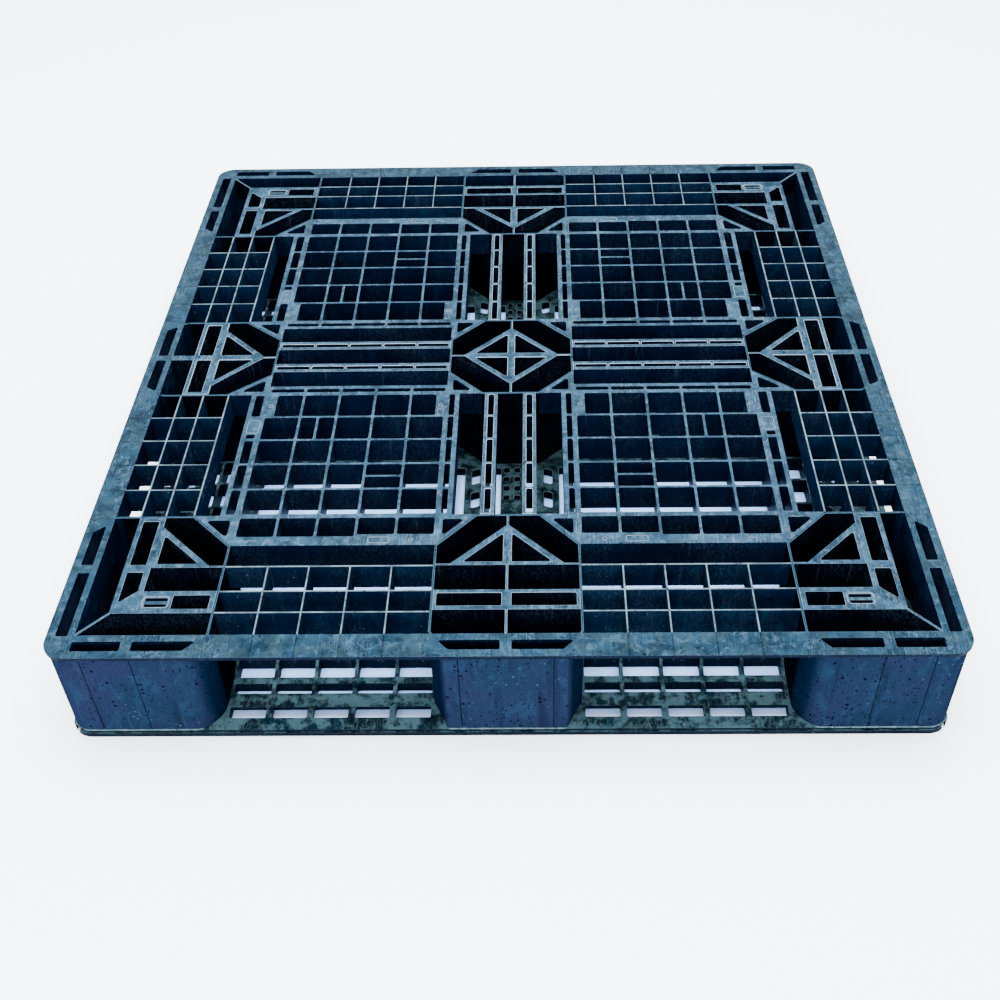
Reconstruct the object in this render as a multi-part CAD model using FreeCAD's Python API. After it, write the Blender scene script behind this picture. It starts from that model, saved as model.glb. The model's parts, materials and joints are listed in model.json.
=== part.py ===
import FreeCAD, Part
import math
import os

# Four-way plastic pallet, about 1100 x 1200 x 150 mm.
#
# Frame: the origin is on the floor under the middle of the pallet, +Z is up, X runs across the
# front, and the front is at -Y.  The pallet is the same in all four quarters, so everything is
# drawn once in the front left quarter and mirrored.  In that quarter a point is (u, v): u is the
# distance from the left edge and v the distance from the front edge.
#
# The upper deck is an open grid carried by nine hollow blocks.  The lower deck is a thin ring of
# cellular boards with a cross in the middle, so that a fork can enter from all four sides and the
# wheels of a pallet truck can stand on the floor in four openings.

Vector = FreeCAD.Vector

# Driving dimensions, in millimetres.
WIDTH = 1100.0
DEPTH = 1200.0
HEIGHT = 150.0
CORNER_RADIUS = 28.0

CORNER_X = 195.0
CORNER_Y = 245.0
MIDDLE_X = 93.0
MIDDLE_Y = 95.0
BAYS = 5
PITCH = 52.0

GRID_HEIGHT = 38.0
RIB = 3.0
SKIN = 4.0
RIM_SKIN = 5.0
RIM_X = 34.0
RIM_Y = 36.0
BLOCK_WALL = 3.0
BLOCK_INSET = 3.0

PAD_TOP = 10.0
BOARD_TOP = 15.0
BOARD_HIGH = 24.0
BOARD_SKIN = 3.0
RAMP_LENGTH = 16.0

HOLE_RADIUS = 3.0
WEB_INSET = 0.9

# Levels and places that follow from them.
HALF_X = WIDTH / 2
HALF_Y = DEPTH / 2
GRID_LOW = HEIGHT - GRID_HEIGHT
RIM_LOW = HEIGHT - RIM_SKIN
MIDDLE_U = HALF_X - MIDDLE_X
MIDDLE_V = HALF_Y - MIDDLE_Y
LINES_U = [CORNER_X] + [MIDDLE_U - PITCH * i for i in reversed(range(BAYS))]
LINES_V = [CORNER_Y] + [MIDDLE_V - PITCH * i for i in reversed(range(BAYS))]

QUARTERS = {
    "front_left": (False, False),
    "front_right": (True, False),
    "back_left": (False, True),
    "back_right": (True, True),
}


# Flat outlines.

def turned_left(points):
    """The same outline, running anticlockwise."""
    following = points[1:] + points[:1]
    area = sum(a[0] * b[1] - b[0] * a[1] for a, b in zip(points, following))
    return list(points) if area > 0 else list(reversed(points))


def grown(points, distance):
    """An outline moved outwards by a distance, or inwards by a negative one."""
    points = turned_left(points)
    count = len(points)
    moved = []
    for i, point in enumerate(points):
        normals = []
        for a, b in ((points[i - 1], point), (point, points[(i + 1) % count])):
            length = math.hypot(b[0] - a[0], b[1] - a[1])
            normals.append(((b[1] - a[1]) / length, (a[0] - b[0]) / length))
        (ax, ay), (bx, by) = normals
        scale = distance / (1 + ax * bx + ay * by)
        moved.append((point[0] + (ax + bx) * scale, point[1] + (ay + by) * scale))
    return moved


def box_outline(u_low, u_high, v_low, v_high):
    return [(u_low, v_low), (u_high, v_low), (u_high, v_high), (u_low, v_high)]


def flipped_u(points, about=HALF_X):
    return turned_left([(2 * about - u, v) for u, v in points])


def flipped_v(points, about=HALF_Y):
    return turned_left([(u, 2 * about - v) for u, v in points])


def swapped(points):
    return turned_left([(v, u) for u, v in points])


def wire(points, radius=0.0, level=0.0):
    """A closed wire whose corners are rounded by one radius, or by one radius for each corner."""
    corners = [Vector(u, v, level) for u, v in points]
    count = len(corners)
    radii = radius if isinstance(radius, list) else [radius] * count
    entries = []
    exits = []
    edges = []
    for i, corner in enumerate(corners):
        back = (corners[i - 1] - corner).normalize()
        ahead = (corners[(i + 1) % count] - corner).normalize()
        half = back.getAngle(ahead) / 2
        setback = radii[i] / math.tan(half)
        entries.append(corner + back * setback)
        exits.append(corner + ahead * setback)
        if radii[i] > 0:
            bisector = (back + ahead).normalize()
            middle = corner + bisector * (radii[i] / math.sin(half) - radii[i])
            edges.append(Part.Arc(entries[i], middle, exits[i]).toShape())
        else:
            edges.append(None)
    loop = []
    for i in range(count):
        if edges[i] is not None:
            loop.append(edges[i])
        start = exits[i]
        end = entries[(i + 1) % count]
        if start.distanceToPoint(end) > 1e-6:
            loop.append(Part.LineSegment(start, end).toShape())
    return Part.Wire(loop)


# Solids drawn from outlines.

def plate(outline, holes, low, high, radius=0.0, hole_radius=0.0):
    """A flat plate between two levels, with holes right through it."""
    wires = [wire(outline, radius, low)]
    wires += [wire(hole, hole_radius, low) for hole in holes]
    face = Part.makeFace(wires, "Part::FaceMakerBullseye")
    return face.extrude(Vector(0, 0, high - low))


def block_of(u_low, u_high, v_low, v_high, low, high):
    corner = Vector(u_low, v_low, low)
    return Part.makeBox(u_high - u_low, v_high - v_low, high - low, corner)


def joined(shapes):
    if len(shapes) == 1:
        return shapes[0]
    return shapes[0].multiFuse(shapes[1:]).removeSplitter()


def ribbed(outline, holes, pockets, low, high, skin=SKIN, inset=WEB_INSET, radius=HOLE_RADIUS):
    """A moulded grid: a skin with rounded holes over thinner ribs, hollow where it is wide."""
    top = plate(outline, holes, high - skin, high, 0.0, radius)
    voids = [grown(hole, inset) for hole in holes] + pockets
    web = plate(outline, voids, low, high - skin)
    return joined([top, web])


def recess(shape, outline, high, depth, radius=1.5):
    """A shallow blank panel sunk into the top face."""
    return shape.cut(plate(outline, [], high - depth, high + 1.0, radius))


def dimple(shape, u, v, high, radius=4.0, depth=0.6):
    """The round mark that a moulding gate leaves."""
    return shape.cut(Part.makeCylinder(radius, depth + 1.0, Vector(u, v, high - depth)))


# Block outlines, each with its corner radii.

CHAMFER_U = 138.0
CHAMFER_V = 188.0
FACET_DEPTH = 40.0
BLOCK_ROUNDING = 36.0
SMALL_ROUNDING = 2.0

CORNER_BLOCK = [
    (BLOCK_INSET, BLOCK_INSET),
    (CORNER_X, BLOCK_INSET),
    (CORNER_X, CHAMFER_V),
    (CHAMFER_U, CORNER_Y),
    (BLOCK_INSET, CORNER_Y),
]
CORNER_BLOCK_RADII = [
    CORNER_RADIUS - BLOCK_INSET,
    BLOCK_ROUNDING,
    SMALL_ROUNDING,
    SMALL_ROUNDING,
    BLOCK_ROUNDING,
]

FRONT_FACE_HALF = 74.0
FRONT_BACK_HALF = 42.0
FRONT_BLOCK = [
    (HALF_X - FRONT_FACE_HALF, BLOCK_INSET),
    (HALF_X + FRONT_FACE_HALF, BLOCK_INSET),
    (HALF_X + MIDDLE_X, FACET_DEPTH),
    (HALF_X + MIDDLE_X, CHAMFER_V),
    (HALF_X + FRONT_BACK_HALF, CORNER_Y),
    (HALF_X - FRONT_BACK_HALF, CORNER_Y),
    (HALF_X - MIDDLE_X, CHAMFER_V),
    (HALF_X - MIDDLE_X, FACET_DEPTH),
]

SIDE_FACE_HALF = 79.0
SIDE_BACK_HALF = 46.0
SIDE_CHAMFER_U = 135.0
SIDE_BLOCK = [
    (BLOCK_INSET, HALF_Y - SIDE_FACE_HALF),
    (FACET_DEPTH, HALF_Y - MIDDLE_Y),
    (SIDE_CHAMFER_U, HALF_Y - MIDDLE_Y),
    (CORNER_X, HALF_Y - SIDE_BACK_HALF),
    (CORNER_X, HALF_Y + SIDE_BACK_HALF),
    (SIDE_CHAMFER_U, HALF_Y + MIDDLE_Y),
    (FACET_DEPTH, HALF_Y + MIDDLE_Y),
    (BLOCK_INSET, HALF_Y + SIDE_FACE_HALF),
]

CENTRE_CHAMFER_X = 42.0
CENTRE_CHAMFER_Y = 43.0
CENTRE_BLOCK = [
    (HALF_X - CENTRE_CHAMFER_X, MIDDLE_V),
    (HALF_X + CENTRE_CHAMFER_X, MIDDLE_V),
    (HALF_X + MIDDLE_X, HALF_Y - CENTRE_CHAMFER_Y),
    (HALF_X + MIDDLE_X, HALF_Y + CENTRE_CHAMFER_Y),
    (HALF_X + CENTRE_CHAMFER_X, HALF_Y + MIDDLE_Y),
    (HALF_X - CENTRE_CHAMFER_X, HALF_Y + MIDDLE_Y),
    (HALF_X - MIDDLE_X, HALF_Y + CENTRE_CHAMFER_Y),
    (HALF_X - MIDDLE_X, HALF_Y - CENTRE_CHAMFER_Y),
]


# Blocks: hollow posts between the two decks.

MARK_WIDTH = 1.2
MARK_DEPTH = 0.7
FRONT_MARK = 57.0
SIDE_MARK = 64.0
CORNER_MARKS = (45.0, 105.0)


def shell(outline, radii):
    """A thin upright wall around a block's outline, from the lower deck to the load face."""
    inner_radii = [max(radius - BLOCK_WALL, 0.5) for radius in radii]
    inner = wire(grown(outline, -BLOCK_WALL), inner_radii, PAD_TOP)
    outer = wire(outline, radii, PAD_TOP)
    face = Part.makeFace([outer, inner], "Part::FaceMakerBullseye")
    return face.extrude(Vector(0, 0, HEIGHT - PAD_TOP))


def under_rim(shape):
    """Cut a block's wall down where the rim plate lies on it."""
    inside = box_outline(RIM_X, WIDTH - RIM_X, RIM_Y, DEPTH - RIM_Y)
    outside = box_outline(-1.0, WIDTH + 1.0, -1.0, DEPTH + 1.0)
    return shape.cut(plate(outside, [inside], RIM_LOW, HEIGHT + 1.0))


def marked(shape, marks_u, marks_v):
    """Fine upright witness lines on the outer faces, left by the mould's inserts."""
    face = BLOCK_INSET + MARK_DEPTH
    half = MARK_WIDTH / 2
    cuts = [block_of(u - half, u + half, 0.0, face, PAD_TOP, RIM_LOW) for u in marks_u]
    cuts += [block_of(0.0, face, v - half, v + half, PAD_TOP, RIM_LOW) for v in marks_v]
    return shape.cut(Part.makeCompound(cuts))


def corner_block():
    body = under_rim(shell(CORNER_BLOCK, CORNER_BLOCK_RADII))
    return marked(body, CORNER_MARKS, CORNER_MARKS)


def front_block():
    body = under_rim(shell(FRONT_BLOCK, [SMALL_ROUNDING] * len(FRONT_BLOCK)))
    return marked(body, (HALF_X - FRONT_MARK, HALF_X + FRONT_MARK), ())


def side_block():
    body = under_rim(shell(SIDE_BLOCK, [SMALL_ROUNDING] * len(SIDE_BLOCK)))
    return marked(body, (), (HALF_Y - SIDE_MARK, HALF_Y + SIDE_MARK))


def centre_block():
    return shell(CENTRE_BLOCK, [SMALL_ROUNDING] * len(CENTRE_BLOCK))


# Rim: four mitred members around the load face.

SLOT_OUT = 11.0
SLOT_IN = 26.0
GUSSET = 2.5


def rim_slots(first, bridge_low, bridge_high, end_out, end_in, mid_out, mid_in, mid_end):
    """Slots of one rim member as (distance along, distance in) outlines, for its first half."""
    return [
        box_outline(first, bridge_low, SLOT_OUT, SLOT_IN),
        [(bridge_high, SLOT_OUT), (end_out, SLOT_OUT), (end_in, SLOT_IN), (bridge_high, SLOT_IN)],
        [(mid_out, SLOT_OUT), (mid_end, SLOT_OUT), (mid_end, SLOT_IN), (mid_in, SLOT_IN)],
    ]


def rim_member(outline, slots, web, gussets, blocks):
    skin = plate(outline, slots, RIM_LOW, HEIGHT, 0.0, 2.0)
    body = joined([skin, web] + gussets)
    rounded = plate(box_outline(0, WIDTH, 0, DEPTH), [], GRID_LOW, HEIGHT, CORNER_RADIUS)
    return body.common(rounded).cut(Part.makeCompound(blocks))


def gusset(u_low, u_high, v_low, v_high, along_v):
    """An upright web under the rim plate, low at the outer edge and deep at the inner one."""
    shallow = 8.0
    if along_v:
        profile = [Vector(u_low, v_low, RIM_LOW), Vector(u_low, v_high, RIM_LOW),
                   Vector(u_low, v_high, GRID_LOW), Vector(u_low, v_low, RIM_LOW - shallow)]
        reach = Vector(u_high - u_low, 0, 0)
    else:
        profile = [Vector(u_low, v_low, RIM_LOW), Vector(u_high, v_low, RIM_LOW),
                   Vector(u_high, v_low, GRID_LOW), Vector(u_low, v_low, RIM_LOW - shallow)]
        reach = Vector(0, v_high - v_low, 0)
    return Part.Face(Part.makePolygon(profile + profile[:1])).extrude(reach)


def front_rim(blocks):
    half_slots = rim_slots(34, 93, 106, 168, 182, 482, 468, 543)
    slots = half_slots + [flipped_u(slot) for slot in half_slots]
    outline = [(0, 0), (WIDTH, 0), (WIDTH - RIM_X, RIM_Y), (RIM_X, RIM_Y)]
    web = block_of(RIM_X, WIDTH - RIM_X, RIM_Y - RIB, RIM_Y, GRID_LOW, RIM_LOW)
    lines = LINES_U[1:-1]
    lines = lines + [WIDTH - u for u in lines]
    gussets = [
        gusset(u - GUSSET / 2, u + GUSSET / 2, BLOCK_INSET, RIM_Y - RIB, True) for u in lines
    ]
    return rim_member(outline, slots, web, gussets, blocks)


def side_rim(blocks):
    along = rim_slots(35, 141, 155, 215, 228, 527, 517, 594)
    half_slots = [swapped(slot) for slot in along]
    slots = half_slots + [flipped_v(slot) for slot in half_slots]
    outline = [(0, 0), (RIM_X, RIM_Y), (RIM_X, DEPTH - RIM_Y), (0, DEPTH)]
    web = block_of(RIM_X - RIB, RIM_X, RIM_Y, DEPTH - RIM_Y, GRID_LOW, RIM_LOW)
    lines = LINES_V[1:-1]
    lines = lines + [DEPTH - v for v in lines]
    gussets = [
        gusset(BLOCK_INSET, RIM_X - RIB, v - GUSSET / 2, v + GUSSET / 2, False) for v in lines
    ]
    return rim_member(outline, slots, web, gussets, blocks)


# Heads: the load face inside each block, with walls that stand on the lower deck.

def rib_between(start, end, thickness, low=GRID_LOW):
    """A thin upright rib between two points."""
    length = math.hypot(end[0] - start[0], end[1] - start[1])
    side_u = -(end[1] - start[1]) / length * thickness / 2
    side_v = (end[0] - start[0]) / length * thickness / 2
    outline = [
        (start[0] - side_u, start[1] - side_v),
        (end[0] - side_u, end[1] - side_v),
        (end[0] + side_u, end[1] + side_v),
        (start[0] + side_u, start[1] + side_v),
    ]
    return plate(outline, [], low, HEIGHT)


def corner_head():
    right = CORNER_X - BLOCK_WALL
    top = CORNER_Y - BLOCK_WALL
    outline = [
        (67, 71.5), (right, 71.5), (right, 108.5), (101, 108.5), (101, 149.5),
        (177, 149.5), (101, 224.5), (101, top), (67, top),
    ]
    holes = [
        [(73, 88.5), (94, 109.5), (94, 141.5), (73, 141.5)],
        box_outline(73, 94, 154.5, 235),
        box_outline(140, 186, 78.5, 101.5),
        [(107, 156), (160, 156), (107, 208)],
    ]
    body = ribbed(outline, holes, [], PAD_TOP, HEIGHT, inset=1.6, radius=2.0)
    body = recess(body, box_outline(103, 137, 80, 100), HEIGHT, 0.8, 6.0)
    finger_slots = [box_outline(106, 134, v, v + 5.0) for v in (82.5, 92.5)]
    cuts = [plate(slot, [], HEIGHT - SKIN - 8, HEIGHT + 1, 0.0) for slot in finger_slots]
    body = body.cut(Part.makeCompound(cuts))
    ribs = [
        rib_between((RIM_X, RIM_Y), (67.5, 72), RIB),
        rib_between((175.5, 151), (right, 151), RIB),
    ]
    inside = plate(box_outline(RIM_X, right, RIM_Y, top), [], 0, HEIGHT + 1)
    inside = inside.common(plate(grown(CORNER_BLOCK, -BLOCK_WALL), [], 0, HEIGHT + 1))
    return joined([body] + ribs).common(inside)


def front_head():
    wall = MIDDLE_X - BLOCK_WALL
    top = CORNER_Y - BLOCK_WALL
    middle = HALF_X
    strip = box_outline(middle - wall, middle + wall, 75, 108.5)
    half_slot = box_outline(middle + 6, middle + wall - 4, 81.5, 103)
    strip_holes = [half_slot, flipped_u(half_slot)]
    strip_body = ribbed(strip, strip_holes, [], PAD_TOP, HEIGHT, inset=1.6, radius=2.0)
    triangle = [(middle - 75, 151), (middle + 75, 151), (middle, 225.5)]
    half_hole = [(middle + 5.5, 157), (middle + 57, 157), (middle + 5.5, 209)]
    triangle_holes = [half_hole, flipped_u(half_hole)]
    triangle_body = ribbed(triangle, triangle_holes, [], PAD_TOP, HEIGHT, inset=1.6, radius=2.0)
    ribs = [
        rib_between((middle, RIM_Y), (middle, 76), RIB),
        rib_between((middle, 107.5), (middle, 152), RIB),
        rib_between((middle, 223.5), (middle, top), RIB),
        rib_between((middle - wall, 152.5), (middle - 73, 152.5), RIB),
        rib_between((middle + 73, 152.5), (middle + wall, 152.5), RIB),
    ]
    inside = plate(grown(FRONT_BLOCK, -BLOCK_WALL), [], 0, HEIGHT + 1)
    return joined([strip_body, triangle_body] + ribs).common(inside)


def side_head():
    wall = MIDDLE_Y - BLOCK_WALL
    right = CORNER_X - BLOCK_WALL
    middle = HALF_Y
    strip = box_outline(67, 106, middle - wall, middle + wall)
    half_slot = box_outline(73.5, 95, middle + 6, middle + wall - 6)
    strip_holes = [half_slot, flipped_v(half_slot)]
    strip_body = ribbed(strip, strip_holes, [], PAD_TOP, HEIGHT, inset=1.6, radius=2.0)
    triangle = [(101, middle - 76), (176, middle), (101, middle + 76)]
    half_hole = [(107, middle + 6), (159, middle + 6), (107, middle + 59)]
    triangle_holes = [half_hole, flipped_v(half_hole)]
    triangle_body = ribbed(triangle, triangle_holes, [], PAD_TOP, HEIGHT, inset=1.6, radius=2.0)
    bar = block_of(RIM_X, 68, middle - 5.5, middle + 5.5, HEIGHT - SKIN, HEIGHT)
    ribs = [
        bar,
        rib_between((RIM_X, middle), (68, middle), RIB),
        rib_between((174, middle), (right, middle), RIB),
    ]
    inside = plate(grown(SIDE_BLOCK, -BLOCK_WALL), [], 0, HEIGHT + 1)
    return joined([strip_body, triangle_body] + ribs).common(inside)


def centre_head():
    reach = 72.0
    bar = 8.0 * math.sqrt(2)
    cross = 5.5
    diamond = [
        (HALF_X, HALF_Y - reach), (HALF_X + reach, HALF_Y),
        (HALF_X, HALF_Y + reach), (HALF_X - reach, HALF_Y),
    ]
    tip = reach - bar - cross
    first = [
        (HALF_X + cross, HALF_Y + cross),
        (HALF_X + tip, HALF_Y + cross),
        (HALF_X + cross, HALF_Y + tip),
    ]
    second = flipped_u(first)
    holes = [first, second, flipped_v(first), flipped_v(second)]
    body = ribbed(diamond, holes, [], PAD_TOP, HEIGHT, inset=1.8, radius=2.0)
    out_u = MIDDLE_X - BLOCK_WALL
    out_v = MIDDLE_Y - BLOCK_WALL
    ribs = [
        rib_between((HALF_X - out_u, HALF_Y), (HALF_X - reach + 2, HALF_Y), RIB),
        rib_between((HALF_X + reach - 2, HALF_Y), (HALF_X + out_u, HALF_Y), RIB),
        rib_between((HALF_X, HALF_Y - out_v), (HALF_X, HALF_Y - reach + 2), RIB),
        rib_between((HALF_X, HALF_Y + reach - 2), (HALF_X, HALF_Y + out_v), RIB),
    ]
    return joined([body] + ribs)


# Deck panels: the four grids between the blocks.

SIDE_BAR = (171.5, 178.0)
SIDE_FRAME = (190.5, 198.5)
INNER_FRAME = (454.5, 461.5)
INNER_BAR = (469.5, 476.0)
FRONT_BAND = (188.0, 204.5)
DEEP_BAND = 208.0
WIDE_BAR = (239.6, 247.2)
BACK_FRAME = (503.5, 511.0)
BACK_BAR = (519.0, 525.5)
GRID_BAR = 3.4
GATE_PLATE = 12.0
LABEL_DEPTH = 0.8


def spans(edges):
    """Pairs of (low, high) between the middles of grid bars, less half a bar at each inner end."""
    half = GRID_BAR / 2
    found = []
    for i, (low, high) in enumerate(zip(edges, edges[1:])):
        low_cut = half if i > 0 else 0.0
        high_cut = half if i < len(edges) - 2 else 0.0
        found.append((low + low_cut, high - high_cut))
    return found


def panel_cells():
    """The rectangular cells of one panel."""
    columns = spans([SIDE_FRAME[1]] + LINES_U[1:-1] + [INNER_FRAME[0]])
    rows = spans([WIDE_BAR[1]] + LINES_V[1:-1] + [BACK_FRAME[0]])
    split_rib = GRID_BAR / 2
    cells = []
    for i, (u_low, u_high) in enumerate(columns):
        front = DEEP_BAND if i >= 3 else FRONT_BAND[1]
        cells.append(box_outline(u_low, u_high, front, WIDE_BAR[0]))
        for j, (v_low, v_high) in enumerate(rows):
            left = u_low + (GATE_PLATE if (i, j) == (0, 4) else 0.0)
            right = u_high - (GATE_PLATE if (i, j) == (4, 4) else 0.0)
            if (i, j) == (3, 1):
                middle = (v_low + v_high) / 2
                cells.append(box_outline(left, right, v_low, middle - split_rib))
                cells.append(box_outline(left, right, middle + split_rib, v_high))
            elif (i, j) == (1, 3):
                middle = (u_low + u_high) / 2
                cells.append(box_outline(left, middle - split_rib, v_low, v_high))
                cells.append(box_outline(middle + split_rib, right, v_low, v_high))
            else:
                cells.append(box_outline(left, right, v_low, v_high))
    return cells


def panel_slots():
    """Narrow slots in the double bars on three sides of one panel."""
    rows = spans([WIDE_BAR[1]] + LINES_V[1:-1] + [BACK_FRAME[0]])
    columns = spans([SIDE_FRAME[1]] + LINES_U[1:-1] + [INNER_FRAME[0]])
    slots = []
    for j, (v_low, v_high) in enumerate(rows):
        slots.append(box_outline(INNER_FRAME[1], INNER_BAR[0], v_low, v_high))
        if j == 3:
            slots.append(box_outline(SIDE_BAR[1], SIDE_FRAME[0], v_low + 2, v_low + 11))
        else:
            slots.append(box_outline(SIDE_BAR[1], SIDE_FRAME[0], v_low, v_high))
    for u_low, u_high in columns:
        slots.append(box_outline(u_low, u_high, BACK_FRAME[1], BACK_BAR[0]))
    return slots


def panel_triangles():
    """Small triangular holes beside the four blocks that a panel meets."""
    return [
        [(153.5, 236), (187, 236), (187, 202.5)],
        [(465, 236), (494, 236), (465, 203.5)],
        [(152, 513), (187, 513), (187, 541.5)],
        [(465, 513), (494, 513), (465, 542.5)],
    ]


def deck_panel():
    outline = [
        (CORNER_X, FRONT_BAND[0]), (MIDDLE_U, FRONT_BAND[0]), (HALF_X - FRONT_BACK_HALF, CORNER_Y),
        (INNER_BAR[1], CORNER_Y), (INNER_BAR[1], MIDDLE_V),
        (HALF_X - CENTRE_CHAMFER_X, MIDDLE_V), (MIDDLE_U, HALF_Y - CENTRE_CHAMFER_Y),
        (MIDDLE_U, BACK_BAR[1]), (CORNER_X, BACK_BAR[1]), (CORNER_X, HALF_Y - SIDE_BACK_HALF),
        (SIDE_CHAMFER_U, MIDDLE_V), (SIDE_BAR[0], MIDDLE_V),
        (SIDE_BAR[0], CORNER_Y), (CHAMFER_U, CORNER_Y),
    ]
    holes = panel_cells() + panel_slots() + panel_triangles()
    lines = [SIDE_FRAME[1]] + LINES_U[1:-1] + [INNER_FRAME[0]]
    pockets = []
    for i, (u_low, u_high) in enumerate(spans(lines)):
        back = DEEP_BAND if i >= 3 else FRONT_BAND[1]
        pockets.append(box_outline(u_low, u_high, FRONT_BAND[0] + RIB, back - RIB))
    body = ribbed(outline, holes, pockets, GRID_LOW, HEIGHT)
    body = recess(body, box_outline(369, 399, 191.5, 204.5), HEIGHT, LABEL_DEPTH)
    body = recess(body, box_outline(175.5, 194.5, 416, 447), HEIGHT, LABEL_DEPTH)
    last_row = (LINES_V[-2] + BACK_FRAME[0]) / 2
    body = dimple(body, SIDE_FRAME[1] + 5.5, last_row, HEIGHT)
    body = dimple(body, INNER_FRAME[0] - 5.5, last_row, HEIGHT)
    return dimple(body, 425.5, (FRONT_BAND[0] + DEEP_BAND) / 2, HEIGHT)


# Edge grids: thin ribs between the rim and the gap beside each panel.

FRONT_LINES = (72.0, 107.5, 150.5)
SIDE_LINES = (67.0, 100.0, 137.0)
EDGE_RIB = 2.4


def edge_grid(lengths, crossings, start, from_edge, sideways):
    """Long ribs along a pocket, crossed by short ribs that start at the rim."""
    half = EDGE_RIB / 2
    low, high = start
    ribs = []
    for line in lengths:
        ribs.append((low, high, line - half, line + half))
    for line in crossings:
        ribs.append((line - half, line + half, from_edge, lengths[-1] + half))
    solids = []
    for a_low, a_high, b_low, b_high in ribs:
        if sideways:
            solids.append(block_of(b_low, b_high, a_low, a_high, GRID_LOW, HEIGHT))
        else:
            solids.append(block_of(a_low, a_high, b_low, b_high, GRID_LOW, HEIGHT))
    return joined(solids)


def front_edge_grid():
    return edge_grid(FRONT_LINES, LINES_U[1:-1], (CORNER_X, MIDDLE_U), RIM_Y, False)


def side_edge_grid():
    return edge_grid(SIDE_LINES, LINES_V[1:-1], (CORNER_Y, MIDDLE_V), RIM_X, True)


# Cross beams: two double bars in each arm between the panels.

FRONT_BEAM = (18.6, 36.8, 4.7)
SIDE_BEAM = (18.6, 38.2, 5.9)


def beam(start, end, lines, centre, section, sideways):
    """The pair of double bars in one arm; its section is (near edge, far edge, bar width)."""
    inner_edge, outer_edge, bar = section
    slots = []
    for low, high in spans([start + RIB] + lines + [end - RIB]):
        slots.append((low, high, inner_edge + bar, outer_edge - bar))
    solids = []
    for side in (-1, 1):
        edges = sorted((centre + side * inner_edge, centre + side * outer_edge))
        outline = box_outline(start, end, edges[0], edges[1])
        holes = []
        for low, high, near, far in slots:
            inner, outer = sorted((centre + side * near, centre + side * far))
            holes.append(box_outline(low, high, inner, outer))
        if sideways:
            outline = swapped(outline)
            holes = [swapped(hole) for hole in holes]
        solids.append(ribbed(outline, holes, [], GRID_LOW, HEIGHT, inset=0.8, radius=2.0))
    return Part.makeCompound(solids)


def front_beams():
    return beam(CORNER_Y, MIDDLE_V, LINES_V[1:-1], HALF_X, FRONT_BEAM, True)


def side_beams():
    return beam(CORNER_X, MIDDLE_U, LINES_U[1:-1], HALF_Y, SIDE_BEAM, False)


# Lower deck.

LEDGE_TOP = 6.5
LEDGE_STEP = 1.5
GROOVE_HEIGHT = 1.4
GROOVE_DEPTH = 3.5
PAD_WINDOW = 30.0


def edge_profile(shape):
    """Step and groove around the outside of the lower deck, and its rounded corners."""
    whole = box_outline(0, WIDTH, 0, DEPTH)
    around = box_outline(-5, WIDTH + 5, -5, DEPTH + 5)

    def ring(depth, low, high):
        inner = wire(grown(whole, -depth), CORNER_RADIUS - depth, low)
        outer = wire(around, 0.0, low)
        face = Part.makeFace([outer, inner], "Part::FaceMakerBullseye")
        return face.extrude(Vector(0, 0, high - low))

    rings = [
        ring(0.0, -1.0, BOARD_TOP + 1),
        ring(LEDGE_STEP, LEDGE_TOP, BOARD_TOP + 1),
        ring(GROOVE_DEPTH, LEDGE_TOP, LEDGE_TOP + GROOVE_HEIGHT),
    ]
    for cutter in rings:
        shape = shape.cut(cutter)
    return shape


PAD_REACH_U = 170.0
PAD_REACH_V = 220.0
PAD_LIP = 6.0


def pad_foot(outline, radii, lips):
    """The area of the lower deck that carries one block, lips at the outer edge included."""
    foot = plate(outline, [], 0, PAD_TOP, radii)
    return joined([foot] + [block_of(*lip, 0, PAD_TOP) for lip in lips])


def corner_foot():
    lips = [(0, PAD_REACH_U, 0, PAD_LIP), (0, PAD_LIP, 0, PAD_REACH_V)]
    return pad_foot(CORNER_BLOCK, CORNER_BLOCK_RADII, lips)


def front_foot():
    radii = [SMALL_ROUNDING] * len(FRONT_BLOCK)
    reach = FRONT_FACE_HALF
    return pad_foot(FRONT_BLOCK, radii, [(HALF_X - reach, HALF_X + reach, 0, PAD_LIP)])


def side_foot():
    radii = [SMALL_ROUNDING] * len(SIDE_BLOCK)
    reach = SIDE_FACE_HALF
    return pad_foot(SIDE_BLOCK, radii, [(0, PAD_LIP, HALF_Y - reach, HALF_Y + reach)])


def centre_foot():
    return pad_foot(CENTRE_BLOCK, [SMALL_ROUNDING] * len(CENTRE_BLOCK), [])


def windows(middles_u, middles_v):
    half = PAD_WINDOW / 2
    return [
        plate(box_outline(u - half, u + half, v - half, v + half), [], -1, PAD_TOP + 1, 4.0)
        for u in middles_u
        for v in middles_v
    ]


def underside(middles_u, middles_v):
    """Shallow hollows under a pad, between the ribs that stand on the floor."""
    half = PAD_WINDOW / 2 + 6.5
    return [
        plate(box_outline(u - half, u + half, v - half, v + half), [], -1, 5.0, 4.0)
        for u in middles_u
        for v in middles_v
    ]


def pad(foot, middles_u, middles_v):
    """A pad with a window into the block between every pair of ribs."""
    cutters = windows(middles_u, middles_v) + underside(middles_u, middles_v)
    return edge_profile(foot.cut(Part.makeCompound(cutters)))


def corner_pad():
    return pad(corner_foot(), (37.0, 85.0, 133.0), (37.0, 89.0, 141.0))


def front_pad():
    return pad(front_foot(), (HALF_X - 48, HALF_X, HALF_X + 48), (48.0, 101.0, 154.0))


def side_pad():
    return pad(side_foot(), (48.0, 97.0, 146.0), (HALF_Y - 48, HALF_Y, HALF_Y + 48))


def centre_pad():
    return pad(centre_foot(), (HALF_X - 46, HALF_X, HALF_X + 46), (HALF_Y - 46, HALF_Y, HALF_Y + 46))


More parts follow.
